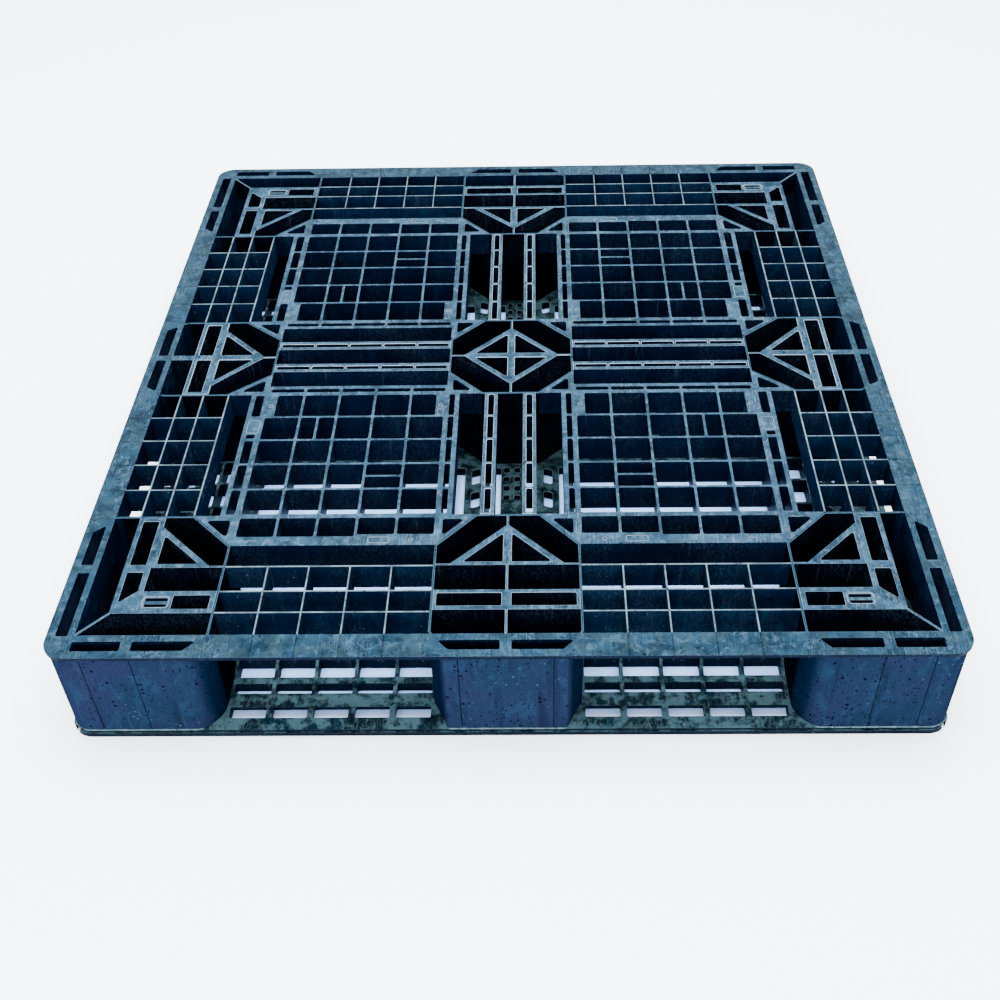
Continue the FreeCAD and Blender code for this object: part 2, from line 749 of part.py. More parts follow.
# Boards: rows of cells between the pads, low at the outer edge and higher inside.  Each board is
# drawn as (distance along, distance in).

FRONT_ROWS = ((17.0, 34.0), (56.0, 72.0), (82.5, 110.0), (114.0, 140.0), (146.0, 170.0))
SIDE_ROWS = ((17.0, 33.0), (55.0, 70.5), (80.5, 107.0), (111.0, 136.0), (142.0, 164.0))
ROW_BARS = (8.0, 5.0, 4.0, 4.0, 4.0)
FRONT_BOARD_WIDTH = 177.0
SIDE_BOARD_WIDTH = 171.0
BOARD_RIB = 4.0
EDGE_WALL = 8.0
PLATE_THICKNESS = 6.0


def board_cells(lines, rows):
    """The openings of one board."""
    cells = []
    for (low, high), bar in zip(rows, ROW_BARS):
        for i, (near, far) in enumerate(zip(lines, lines[1:])):
            near_cut = bar / 2 if i > 0 else BOARD_RIB
            far_cut = bar / 2 if i < BAYS - 1 else BOARD_RIB
            cells.append(box_outline(near + near_cut, far - far_cut, low, high))
    return cells


def board_hollows(lines, rows):
    """What is hollow under the thin plate with the first row of cells and the wide bar."""
    inner = rows[1][0] - BOARD_RIB
    hollows = []
    for i, (near, far) in enumerate(zip(lines, lines[1:])):
        near_cut = BOARD_RIB / 2 if i > 0 else BOARD_RIB
        far_cut = BOARD_RIB / 2 if i < BAYS - 1 else BOARD_RIB
        hollows.append(box_outline(near + near_cut, far - far_cut, EDGE_WALL, inner))
    return hollows


def above_board(rows, turned):
    """What is cut away above a board: over its ramp, its level part and its inner slope."""
    slope_start, slope_end = rows[2]
    profile = [
        (-1.0, PAD_TOP), (RAMP_LENGTH, BOARD_TOP), (slope_start, BOARD_TOP),
        (slope_end, BOARD_HIGH), (slope_end, BOARD_HIGH + 1), (-1.0, BOARD_HIGH + 1),
    ]
    if turned:
        points = [Vector(inward, 0, z) for inward, z in profile]
        reach = Vector(0, DEPTH, 0)
    else:
        points = [Vector(0, inward, z) for inward, z in profile]
        reach = Vector(WIDTH, 0, 0)
    return Part.Face(Part.makePolygon(points + points[:1])).extrude(reach)


def board(outline, lines, rows, turned, feet):
    cells = board_cells(lines, rows)
    hollows = board_hollows(lines, rows)
    if turned:
        outline = swapped(outline)
        cells = [swapped(cell) for cell in cells]
        hollows = [swapped(hollow) for hollow in hollows]
    body = plate(outline, cells, 0, BOARD_HIGH, 0.0, 2.0)
    below = [plate(hollow, [], -1, BOARD_TOP - PLATE_THICKNESS) for hollow in hollows]
    body = body.cut(above_board(rows, turned)).cut(Part.makeCompound(feet + below))
    return edge_profile(body)


def front_board(feet):
    outline = box_outline(PAD_REACH_U, HALF_X - FRONT_FACE_HALF, 0, FRONT_BOARD_WIDTH)
    return board(outline, LINES_U, FRONT_ROWS, False, feet)


def side_board(feet):
    outline = [
        (PAD_REACH_V, 0), (HALF_Y - SIDE_FACE_HALF, 0), (HALF_Y - SIDE_FACE_HALF, FACET_DEPTH),
        (MIDDLE_V, FACET_DEPTH), (MIDDLE_V, SIDE_BOARD_WIDTH), (PAD_REACH_V, SIDE_BOARD_WIDTH),
    ]
    return board(outline, LINES_V, SIDE_ROWS, True, feet)


# Cross boards: the arms of the lower deck.  Their holes are (distance along, distance from the
# arm's centre line).

LONG_SLOTS = ((16.6, 33.0), (71.0, 84.0))
SLANTED = (48.0, 61.0)
SLANT = 5.0
SLANTED_LENGTH = 33.0
SMALL_HOLE = (9.0, 11.0)
SMALL_PLACE = 8.0
SMALL_PITCH = 21.0
SMALL_COUNT = 4


def cross_holes(lines, centre):
    """The openings of a cross board that runs from lines[0] to lines[-1]."""
    start, end = lines[0], lines[-1]
    middle = (start + end) / 2
    half = []
    for low, high in LONG_SLOTS:
        half.append(box_outline(start + 16, middle - 5, low, high))
        half.append(box_outline(middle + 5, end - 10, low, high))
    for line in lines[:-1]:
        near, far = line + 3, line + 3 + SLANTED_LENGTH
        half.append([
            (near + SLANT, SLANTED[0]), (far + SLANT, SLANTED[0]), (far, SLANTED[1]), (near, SLANTED[1]),
        ])
    near, far = SMALL_PLACE - SMALL_HOLE[0] / 2, SMALL_PLACE + SMALL_HOLE[0] / 2
    for i in range(SMALL_COUNT):
        for place in (start + SMALL_PITCH * (i + 0.7), end - SMALL_PITCH * (i + 0.7)):
            low, high = place - SMALL_HOLE[1] / 2, place + SMALL_HOLE[1] / 2
            half.append(box_outline(low, high, near, far))
    return [[(along, centre + side * out) for along, out in hole] for hole in half for side in (-1, 1)]


def cross_board(outline, holes):
    return ribbed(outline, holes, [], 0, BOARD_TOP, BOARD_SKIN, 0.8)


def front_cross_board():
    """Lower board from the front middle block to the centre block."""
    outline = [
        (HALF_X - FRONT_BACK_HALF, CORNER_Y), (HALF_X - MIDDLE_X, CHAMFER_V),
        (HALF_X - MIDDLE_X, HALF_Y - CENTRE_CHAMFER_Y), (HALF_X - CENTRE_CHAMFER_X, MIDDLE_V),
        (HALF_X + CENTRE_CHAMFER_X, MIDDLE_V), (HALF_X + MIDDLE_X, HALF_Y - CENTRE_CHAMFER_Y),
        (HALF_X + MIDDLE_X, CHAMFER_V), (HALF_X + FRONT_BACK_HALF, CORNER_Y),
    ]
    return cross_board(outline, [swapped(hole) for hole in cross_holes(LINES_V, HALF_X)])


def side_cross_board():
    """Lower board from a side middle block to the centre block."""
    outline = [
        (CORNER_X, HALF_Y - SIDE_BACK_HALF), (SIDE_CHAMFER_U, MIDDLE_V),
        (MIDDLE_U, MIDDLE_V), (MIDDLE_U, HALF_Y + MIDDLE_Y),
        (SIDE_CHAMFER_U, HALF_Y + MIDDLE_Y), (CORNER_X, HALF_Y + SIDE_BACK_HALF),
    ]
    return cross_board(outline, cross_holes(LINES_U, HALF_Y))


# Placing and writing.

def placed(shape, flip_x=False, flip_y=False):
    """Move a shape from (u, v) to the pallet's frame, mirrored into its quarter."""
    moved = shape.copy()
    moved.translate(Vector(-HALF_X, -HALF_Y, 0))
    if flip_x:
        moved = moved.mirror(Vector(0, 0, 0), Vector(1, 0, 0))
    if flip_y:
        moved = moved.mirror(Vector(0, 0, 0), Vector(0, 1, 0))
    return moved


def write(name, shape):
    solids = shape.Solids
    result = solids[0] if len(solids) == 1 else Part.makeCompound(solids)
    if not result.isValid():
        print("invalid:", name)
    print(name, len(solids), round(result.Volume / 1000.0, 1), "cm3")
    result.exportStep("parts/" + name + ".step")


def write_quarters(prefix, shape):
    for quarter, flips in QUARTERS.items():
        write(prefix + "_" + quarter, placed(shape, *flips))


def write_pair(prefix, shape, first, second, flips):
    write(prefix + "_" + first, placed(shape))
    write(prefix + "_" + second, placed(shape, *flips))


LEFT_RIGHT = ("left", "right", (True, False))
FRONT_BACK = ("front", "back", (False, True))


def mirrored_solids(shape, about_u=None, about_v=None):
    """A copy of a shape on the other side of the pallet's middle."""
    moved = shape
    if about_u is not None:
        moved = moved.mirror(Vector(about_u, 0, 0), Vector(1, 0, 0))
    if about_v is not None:
        moved = moved.mirror(Vector(0, about_v, 0), Vector(0, 1, 0))
    return moved


def main():
    os.makedirs("parts", exist_ok=True)

    corner = corner_block()
    front = front_block()
    side = side_block()
    write_quarters("corner_block", corner)
    write_pair("middle_block", front, *FRONT_BACK)
    write_pair("middle_block", side, *LEFT_RIGHT)
    write("centre_block", placed(centre_block()))

    front_posts = [corner, mirrored_solids(corner, about_u=HALF_X), front]
    side_posts = [corner, mirrored_solids(corner, about_v=HALF_Y), side]
    write_pair("rim", front_rim(front_posts), *FRONT_BACK)
    write_pair("rim", side_rim(side_posts), *LEFT_RIGHT)

    write_quarters("corner_head", corner_head())
    write_pair("middle_head", front_head(), *FRONT_BACK)
    write_pair("middle_head", side_head(), *LEFT_RIGHT)
    write("centre_head", placed(centre_head()))

    write_quarters("deck_panel", deck_panel())
    write_quarters("long_edge_grid", side_edge_grid())
    write_quarters("short_edge_grid", front_edge_grid())
    write_pair("cross_beams", front_beams(), *FRONT_BACK)
    write_pair("cross_beams", side_beams(), *LEFT_RIGHT)

    write_quarters("corner_pad", corner_pad())
    write_pair("middle_pad", front_pad(), *FRONT_BACK)
    write_pair("middle_pad", side_pad(), *LEFT_RIGHT)
    write("centre_pad", placed(centre_pad()))

    tall_corner = plate(CORNER_BLOCK, [], 0, BOARD_HIGH, CORNER_BLOCK_RADII)
    tall_front = plate(FRONT_BLOCK, [], 0, BOARD_HIGH, SMALL_ROUNDING)
    tall_side = plate(SIDE_BLOCK, [], 0, BOARD_HIGH, SMALL_ROUNDING)
    write_quarters("short_bottom_board", front_board([tall_corner, tall_front]))
    write_quarters("long_bottom_board", side_board([tall_corner, tall_side]))
    write_pair("cross_board", front_cross_board(), *FRONT_BACK)
    write_pair("cross_board", side_cross_board(), *LEFT_RIGHT)


main()
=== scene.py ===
import json
import math
import bpy
from mathutils import Matrix, Vector


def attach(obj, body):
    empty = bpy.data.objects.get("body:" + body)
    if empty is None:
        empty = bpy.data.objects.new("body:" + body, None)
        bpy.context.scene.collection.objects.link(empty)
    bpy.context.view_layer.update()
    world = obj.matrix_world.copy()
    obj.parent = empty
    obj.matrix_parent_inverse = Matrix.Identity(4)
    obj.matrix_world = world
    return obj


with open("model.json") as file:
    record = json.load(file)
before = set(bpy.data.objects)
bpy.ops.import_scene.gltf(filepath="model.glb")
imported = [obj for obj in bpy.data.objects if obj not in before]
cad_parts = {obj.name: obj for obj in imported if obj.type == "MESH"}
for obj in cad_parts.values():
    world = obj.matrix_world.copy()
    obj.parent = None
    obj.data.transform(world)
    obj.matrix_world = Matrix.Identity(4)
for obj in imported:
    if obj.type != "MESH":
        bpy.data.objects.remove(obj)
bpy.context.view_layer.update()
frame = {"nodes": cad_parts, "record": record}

scene = bpy.context.scene

# Heights, and distances from the middle of the pallet, in metres.
LOAD_FACE = 0.150
PAD_TOP = 0.010
HALF_X = 0.550
HALF_Y = 0.600
RIM_X = 0.516
RIM_Y = 0.564
BLOCK_FACE_X = 0.547
BLOCK_FACE_Y = 0.597

# The ribs below the rim plate: the one nearest the middle, and the next ones one pitch apart.
FIRST_X = 0.145
FIRST_Y = 0.147
PITCH = 0.052
RIM_RIBS = 4

# The near-black blue of specks and drips, and of the painted shade in deep hollows.
DARKEST = (0.00004, 0.0003, 0.0014)
# The plastic mirrors its surroundings in blue, so that its dark walls stay deep.
MIRROR_TINT = (0.30, 0.62, 1.0)

# Each bundle of straight scratches: turn, shift, width and amount.
STRAIGHT = ((0.45, 0.0, 0.012, 0.9), (1.75, 2.0, 0.010, 0.8), (2.60, 5.0, 0.010, 0.8))
# Each set of curved scuffs: scale, width and amount.
SWIRLING = ((9.0, 0.04, 0.40), (21.0, 0.05, 0.25))

# Depths behind the outer faces of the blocks over which painted shade darkens the walls, in metres.
SHADE_START, SHADE_FULL = 0.0011, 0.014
DEEP_SHADE_START, DEEP_SHADE_FULL = 0.030, 0.045

# Rounded edges, in metres.
MERGE_DISTANCE = 0.00002
EDGE_WIDTH = 0.0009
THIN_EDGE_WIDTH = 0.0005

# Half the thickness of each kind of bead, in metres.
WELD_BEAD = 0.0013
BORDER_BEAD = 0.0006
RING_BEAD = 0.0005
# The weld bead's points are at most this far apart, in metres, and its thickness varies by this share.
WELD_STEP = 0.006
WELD_UNEVENNESS = 0.35
# The ring inside a gate mark: its radius in millimetres, and its number of points.
RING_RADIUS = 2.8
RING_POINTS = 20


# Node trees.

class Tree:
    """A material's node tree, with short calls for the nodes used here."""

    def __init__(self, name):
        self.material = bpy.data.materials.new(name)
        self.material.use_nodes = True
        self.nodes = self.material.node_tree.nodes
        self.links = self.material.node_tree.links
        self.nodes.clear()
        self.output = self.nodes.new("ShaderNodeOutputMaterial")
        self.shader = self.nodes.new("ShaderNodeBsdfPrincipled")
        self.links.new(self.shader.outputs["BSDF"], self.output.inputs["Surface"])
        self.place = self.nodes.new("ShaderNodeTexCoord").outputs["Object"]
        self.geometry = self.nodes.new("ShaderNodeNewGeometry")

    def put(self, value, socket):
        if isinstance(value, (int, float)):
            socket.default_value = value
        elif isinstance(value, tuple):
            socket.default_value = value if len(value) == len(socket.default_value) else (*value, 1)
        else:
            self.links.new(value, socket)

    def math(self, operation, a, b=0.0, clamp=False):
        node = self.nodes.new("ShaderNodeMath")
        node.operation = operation
        node.use_clamp = clamp
        self.put(a, node.inputs[0])
        self.put(b, node.inputs[1])
        return node.outputs[0]

    def times(self, *values):
        result = values[0]
        for value in values[1:]:
            result = self.math("MULTIPLY", result, value)
        return result

    def plus(self, *values):
        result = values[0]
        for value in values[1:]:
            result = self.math("ADD", result, value)
        return result

    def inverse(self, value):
        return self.math("SUBTRACT", 1.0, value, clamp=True)

    def range(self, value, low, high, to_low=0.0, to_high=1.0):
        node = self.nodes.new("ShaderNodeMapRange")
        node.interpolation_type = "SMOOTHSTEP"
        self.put(value, node.inputs["Value"])
        self.put(low, node.inputs["From Min"])
        self.put(high, node.inputs["From Max"])
        self.put(to_low, node.inputs["To Min"])
        self.put(to_high, node.inputs["To Max"])
        return node.outputs["Result"]

    def mix(self, factor, a, b):
        node = self.nodes.new("ShaderNodeMix")
        node.data_type = "RGBA"
        self.put(factor, node.inputs[0])
        self.put(a, node.inputs[6])
        self.put(b, node.inputs[7])
        return node.outputs[2]

    def stretched(self, scale, turn=(0.0, 0.0, 0.0), shift=(0.0, 0.0, 0.0)):
        node = self.nodes.new("ShaderNodeMapping")
        self.put(self.place, node.inputs["Vector"])
        node.inputs["Location"].default_value = shift
        node.inputs["Rotation"].default_value = turn
        node.inputs["Scale"].default_value = scale
        return node.outputs[0]

    def noise(self, scale, detail=3.0, rough=0.5, vector=None, distortion=0.0):
        node = self.nodes.new("ShaderNodeTexNoise")
        self.put(vector if vector is not None else self.place, node.inputs["Vector"])
        node.inputs["Scale"].default_value = scale
        node.inputs["Detail"].default_value = detail
        node.inputs["Roughness"].default_value = rough
        node.inputs["Distortion"].default_value = distortion
        return node.outputs["Fac"]

    def dots(self, scale, share, shift):
        """1 inside small uneven dots, at random places and of random sizes."""
        node = self.nodes.new("ShaderNodeTexVoronoi")
        self.put(self.stretched((1.0, 1.0, 1.0), shift=shift), node.inputs["Vector"])
        node.inputs["Scale"].default_value = scale
        size = self.range(self.axis(node.outputs["Color"], "X"), 1.0 - share, 1.0, 0.0, 0.36)
        ragged = self.math("MULTIPLY", self.noise(scale * 3.0, 2.0, 0.6), 0.24)
        inside = self.math("SUBTRACT", self.plus(size, ragged), node.outputs["Distance"])
        return self.range(inside, 0.12, 0.20)

    def line(self, value, at, width):
        """1 on the line where value equals at, falling to 0 at width on each side."""
        away = self.math("ABSOLUTE", self.math("SUBTRACT", value, at))
        return self.range(away, 0.0, width, 1.0, 0.0)

    def axis(self, vector, name):
        node = self.nodes.new("ShaderNodeSeparateXYZ")
        self.put(vector, node.inputs[0])
        return node.outputs[name]

    def bump(self, height, strength, distance):
        node = self.nodes.new("ShaderNodeBump")
        node.inputs["Strength"].default_value = strength
        node.inputs["Distance"].default_value = distance
        self.put(height, node.inputs["Height"])
        return node.outputs[0]


def straight_scratches(tree, turn, shift, width, amount):
    """Bundles of thin straight scratches in one direction, only here and there."""
    along = tree.stretched((260.0, 9.0, 120.0), (0.0, 0.0, turn), (shift, 0.0, 0.0))
    lines = tree.line(tree.noise(1.0, 3.0, 0.55, along), 0.5, width)
    where = tree.noise(11.0, 2.0, 0.5, tree.stretched((1.0, 1.0, 1.0), shift=(shift, shift, 0.0)))
    return tree.times(lines, tree.range(where, 0.46, 0.62), amount)


def swirling_scratches(tree, scale, width, amount):
    """Curved scuffs, as contour lines of a soft noise."""
    field = tree.noise(scale, 2.0, 0.45, distortion=1.6)
    waves = tree.math("FRACT", tree.math("MULTIPLY", field, 9.0))
    lines = tree.line(waves, 0.5, width)
    where = tree.noise(scale * 1.7, 2.0, 0.5, tree.stretched((1.0, 1.0, 1.0), shift=(3.0, 1.0, 0.0)))
    return tree.times(lines, tree.range(where, 0.48, 0.64), amount)


def rim_lines(tree, facing_up):
    """Fine lines across the rim plate, one over every rib below it."""
    wide = tree.math("ABSOLUTE", tree.axis(tree.place, "X"))
    deep = tree.math("ABSOLUTE", tree.axis(tree.place, "Y"))
    found = []
    for along, across, edge, first in ((wide, deep, RIM_Y, FIRST_X), (deep, wide, RIM_X, FIRST_Y)):
        steps = tree.math("DIVIDE", tree.math("SUBTRACT", along, first - PITCH / 2), PITCH)
        line = tree.line(tree.math("FRACT", steps), 0.5, 0.030)
        inside = tree.times(
            tree.range(steps, 0.0, 0.01), tree.range(steps, RIM_RIBS - 0.01, RIM_RIBS, 1.0, 0.0),
            tree.range(across, edge, edge + 0.0005))
        found.append(tree.times(line, inside))
    high = tree.range(tree.axis(tree.place, "Z"), LOAD_FACE - 0.001, LOAD_FACE - 0.0005)
    return tree.times(tree.plus(*found), facing_up, high)


def plastic(name, wall, tint, smudge, top_wear_and_sheen, wear_and_glint, edge, dirt, dirt_amount, streaks, pits_and_glints, specular,
            hollow_shade=None, lines=False):
    """Dark scuffed recycled plastic, scratched where it faces up and is rubbed; paler where it faces up, from
    wear and a painted sheen, with painted highlights and wear on rounded edges, painted glints, and painted
    shade in the blocks' hollows.
    """
    tree = Tree(name)
    up = tree.axis(tree.geometry.outputs["True Normal"], "Z")
    facing_up = tree.range(up, 0.60, 0.95)
    rounded_edge = tree.times(tree.range(up, 0.20, 0.34), tree.range(up, 0.935, 0.950, 1.0, 0.0))

    cloud = tree.noise(7.0, 4.0, 0.6)
    patches = tree.noise(38.0, 5.0, 0.62)
    blotches = tree.noise(95.0, 4.0, 0.6, distortion=0.6)
    grain = tree.noise(520.0, 3.0, 0.6)
    specks = tree.range(tree.noise(230.0, 2.0, 0.5), 0.665, 0.72)

    walls = tree.mix(tree.range(cloud, 0.35, 0.65), wall, tint)
    smears = tree.noise(1.0, 5.0, 0.62, tree.stretched((46.0, 46.0, 21.0), (0.4, 0.3, 0.5)), 1.2)
    walls = tree.mix(tree.times(tree.range(smears, 0.5, 0.68), 0.6), walls, smudge)

    # Drips and rubbed streaks run down the upright faces.
    run = tree.noise(1.0, 4.0, 0.6, tree.stretched((170.0, 170.0, 9.0)))
    walls = tree.mix(tree.times(tree.range(run, 0.6, 0.74), streaks, 0.5), walls, wear_and_glint)
    dark_run = tree.noise(1.0, 3.0, 0.6, tree.stretched((85.0, 85.0, 6.0), shift=(4.0, 2.0, 1.0)))
    walls = tree.mix(tree.times(tree.range(dark_run, 0.55, 0.72), streaks), walls, DARKEST)
    walls = tree.mix(tree.times(tree.range(blotches, 0.62, 0.70), streaks), walls, DARKEST)
    large_pits = tree.dots(150.0, 0.45, (1.0, 2.0, 3.0))
    small_pits = tree.dots(230.0, 0.45, (5.0, 1.0, 2.0))
    pitted = tree.math("MAXIMUM", large_pits, small_pits)
    crowd = tree.range(tree.noise(18.0, 4.0, 0.65), 0.38, 0.56)
    # Glints are painted highlights: small light dots in the wear colour.
    glints = tree.times(tree.dots(240.0, 0.16, (7.0, 3.0, 2.0)), tree.inverse(crowd))
    walls = tree.mix(tree.times(glints, pits_and_glints, 0.7), walls, wear_and_glint)

    # Painted shade: walls further behind the blocks' outer faces turn darker, then near black, for the shade
    # inside the blocks.
    if hollow_shade is not None:
        wide = tree.math("SUBTRACT", BLOCK_FACE_X, tree.math("ABSOLUTE", tree.axis(tree.place, "X")))
        deep = tree.math("SUBTRACT", BLOCK_FACE_Y, tree.math("ABSOLUTE", tree.axis(tree.place, "Y")))
        sunk = tree.math("MINIMUM", wide, deep)
        walls = tree.mix(tree.range(sunk, SHADE_START, SHADE_FULL), walls, hollow_shade)
        walls = tree.mix(tree.range(sunk, DEEP_SHADE_START, DEEP_SHADE_FULL), walls, DARKEST)

    # Faces that look up are paler: partly wear and dust, partly a painted sheen for the light falling from
    # above.
    worn_and_sheen_tops = tree.mix(tree.range(patches, 0.38, 0.62), top_wear_and_sheen, tuple(0.42 * part for part in top_wear_and_sheen))
    worn_and_sheen_tops = tree.mix(tree.times(tree.range(blotches, 0.5, 0.7), 0.3), worn_and_sheen_tops, wear_and_glint)
    colour = tree.mix(facing_up, walls, worn_and_sheen_tops)

    scratches = tree.plus(*(straight_scratches(tree, *bundle) for bundle in STRAIGHT))
    swirls = tree.plus(*(swirling_scratches(tree, *scuffs) for scuffs in SWIRLING))
    upward_wear = tree.times(facing_up, tree.plus(scratches, swirls))
    wall_wear = tree.times(tree.inverse(facing_up), scratches, 0.3)
    wear = tree.math("MINIMUM", tree.plus(upward_wear, wall_wear), 1.0)
    colour = tree.mix(tree.times(wear, 0.75), colour, wear_and_glint)
    # Rounded edges get a painted highlight mixed with wear, in patches.
    patchy_highlight_and_wear = tree.range(patches, 0.25, 0.6, 0.45, 1.0)
    colour = tree.mix(tree.times(rounded_edge, patchy_highlight_and_wear), colour, edge)
    if lines:
        colour = tree.mix(tree.times(rim_lines(tree, facing_up), 0.8), colour, DARKEST)

    # Dust and dirt settle on faces that look up, most of all on the lower deck.
    settled = tree.times(facing_up, tree.range(tree.noise(42.0, 5.0, 0.68), 0.45, 0.58), dirt_amount)
    colour = tree.mix(settled, colour, dirt)
    colour = tree.mix(tree.times(specks, 0.8), colour, DARKEST)
    colour = tree.mix(tree.times(pitted, crowd, pits_and_glints), colour, DARKEST)
    tree.put(colour, tree.shader.inputs["Base Color"])

    rough = tree.plus(0.40, tree.times(patches, 0.16), tree.times(wear, 0.2), tree.times(settled, 0.25))
    tree.put(rough, tree.shader.inputs["Roughness"])
    tree.shader.inputs["Specular IOR Level"].default_value = specular
    tree.shader.inputs["Specular Tint"].default_value = (*MIRROR_TINT, 1)
    relief = tree.plus(
        tree.times(grain, 0.35), tree.times(patches, 0.5), tree.times(wear, -0.6),
        tree.times(specks, -0.5))
    tree.put(tree.bump(relief, 0.55, 0.0006), tree.shader.inputs["Normal"])
    return tree.material


def make_materials():
    # The deck's walls are near black, far darker than the blocks': painted shade for walls down inside the
    # cells.
    deck = dict(
        wall=(0.0001, 0.0010, 0.0048), tint=(0.0001, 0.0021, 0.0090), smudge=(0.0003, 0.0042, 0.0130),
        top_wear_and_sheen=(0.0056, 0.0175, 0.0305), wear_and_glint=(0.044, 0.088, 0.130), edge=(0.210, 0.270, 0.320),
        dirt=(0.016, 0.030, 0.034), dirt_amount=0.3, streaks=0.15, pits_and_glints=0.15,
        specular=0.02)
    bars = dict(deck, top_wear_and_sheen=(0.0130, 0.0320, 0.0530), wear_and_glint=(0.080, 0.128, 0.170), dirt_amount=0.15)
    # The heads' walls are darker still: painted shade in their deep cells.
    head = dict(
        bars, wall=(0.00002, 0.0003, 0.0018), tint=(0.00003, 0.0005, 0.0028), smudge=(0.0001, 0.0011, 0.0044),
        edge=(0.120, 0.165, 0.205), specular=0.0)
    thin = dict(
        deck, wall=(0.0002, 0.0030, 0.0110), tint=(0.0003, 0.0052, 0.0160), smudge=(0.0009, 0.0105, 0.0230),
        top_wear_and_sheen=(0.072, 0.100, 0.118), wear_and_glint=(0.100, 0.130, 0.145), edge=(0.010, 0.024, 0.036), dirt_amount=0.0,
        pits_and_glints=0.4, specular=0.0)
    block = dict(
        deck, wall=(0.0036, 0.0088, 0.0200), tint=(0.0064, 0.0086, 0.0235), smudge=(0.0056, 0.0165, 0.0350),
        wear_and_glint=(0.030, 0.056, 0.080), edge=(0.024, 0.047, 0.070), streaks=0.35, pits_and_glints=0.9, specular=0.0,
        # The inner colour is painted shade for the hollows inside the blocks.
        hollow_shade=(0.0002, 0.0030, 0.0100))
    base = dict(
        deck, wall=(0.0001, 0.0010, 0.0042), tint=(0.0002, 0.0020, 0.0062), smudge=(0.0006, 0.0050, 0.0105),
        top_wear_and_sheen=(0.0008, 0.0050, 0.0082), wear_and_glint=(0.044, 0.072, 0.080), edge=(0.060, 0.095, 0.105),
        dirt=(0.022, 0.045, 0.054), dirt_amount=0.85, streaks=0.4, pits_and_glints=0.8, specular=0.02)
    weld = dict(base, top_wear_and_sheen=(0.004, 0.016, 0.026))
    mark = dict(bars, top_wear_and_sheen=(0.024, 0.052, 0.072), edge=(0.085, 0.120, 0.150))
    return {
        "deck_plastic": plastic("deck_plastic", **bars),
        "rim_plastic": plastic("rim_plastic", **deck, lines=True),
        "head_plastic": plastic("head_plastic", **head),
        "thin_rib_plastic": plastic("thin_rib_plastic", **thin),
        "block_plastic": plastic("block_plastic", **block),
        "base_plastic": plastic("base_plastic", **base),
        "weld_plastic": plastic("weld_plastic", **weld),
        "mark_plastic": plastic("mark_plastic", **mark),
    }


# Nodes whose finish differs from their slot's, by a word in their name.
SPECIAL_FINISHES = (
    ("edge_grid", "thin_rib_plastic"),
    ("rim_", "rim_plastic"),
    ("_head", "head_plastic"),
)


def dress_nodes(materials):
    slots = {entry["node"]: entry["material_slot"] for entry in frame["record"]["subparts"]}
    for name, node in frame["nodes"].items():
        thin = "edge_grid" in name
        finish = slots[name]
        for word, special in SPECIAL_FINISHES:
            finish = special if word in name else finish
        node.data.materials.clear()
        node.data.materials.append(materials[finish])
        weld = node.modifiers.new("weld", "WELD")
        weld.merge_threshold = MERGE_DISTANCE
        bevel = node.modifiers.new("edges", "BEVEL")
        bevel.width = THIN_EDGE_WIDTH if thin else EDGE_WIDTH
        bevel.segments = 2
        bevel.limit_method = "ANGLE"
        bevel.angle_limit = math.radians(40)
        bevel.harden_normals = True


# Small pieces that the frame leaves out.

def rounded_loop(points, radii, steps=8):
    """The points of a closed outline, with each corner turned into an arc."""
    loop = []
    count = len(points)
    for i, point in enumerate(points):
        corner = Vector(point)
        back = (Vector(points[i - 1]) - corner).normalized()
        ahead = (Vector(points[(i + 1) % count]) - corner).normalized()
        half = back.angle(ahead) / 2
        radius = radii[i] if isinstance(radii, (list, tuple)) else radii
        centre = corner + (back + ahead).normalized() * (radius / math.sin(half))
        start = corner + back * (radius / math.tan(half)) - centre
        end = corner + ahead * (radius / math.tan(half)) - centre
        turn = start.angle_signed(end)
        for step in range(steps + 1):
            angle = -turn * step / steps
            spun = Matrix.Rotation(angle, 2) @ start
            loop.append(centre + spun)
    return loop


def bead(name, loop, height, thickness, material, uneven=0.0):
    """A thin rounded ridge along a closed outline."""
    data = bpy.data.curves.new(name, "CURVE")
    data.dimensions = "3D"
    data.bevel_depth = thickness
    data.bevel_resolution = 2
    spline = data.splines.new("POLY")
    spline.points.add(len(loop) - 1)
    for i, (point, place) in enumerate(zip(spline.points, loop)):
        point.co = (place[0], place[1], height, 1)
        point.radius = 1.0 + uneven * math.sin(7.0 * i) * math.sin(2.3 * i + 1.0)
    spline.use_cyclic_u = True
    data.materials.append(material)
    piece = bpy.data.objects.new(name, data)
    scene.collection.objects.link(piece)
    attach(piece, "root")
    return piece


def divided(loop, longest):
    """The same outline with its long runs cut into short ones."""
    fine = []
    for i, point in enumerate(loop):
        following = loop[(i + 1) % len(loop)]
        count = max(1, math.ceil((following - point).length / longest))
        fine += [point.lerp(following, step / count) for step in range(count)]
    return fine


def mirrored(points, flip_x, flip_y):
    """The same points, reflected across the middle of the pallet where a flip is asked for."""
    sign_x = -1 if flip_x else 1
    sign_y = -1 if flip_y else 1
    return [Vector((sign_x * x, sign_y * y)) for x, y in points]


def from_corner(points):
    """Millimetres from the front left corner, turned into metres from the middle."""
    return [(u / 1000 - HALF_X, v / 1000 - HALF_Y) for u, v in points]


QUARTERS = {
    "front_left": (False, False),
    "front_right": (True, False),
    "back_left": (False, True),
    "back_right": (True, True),
}
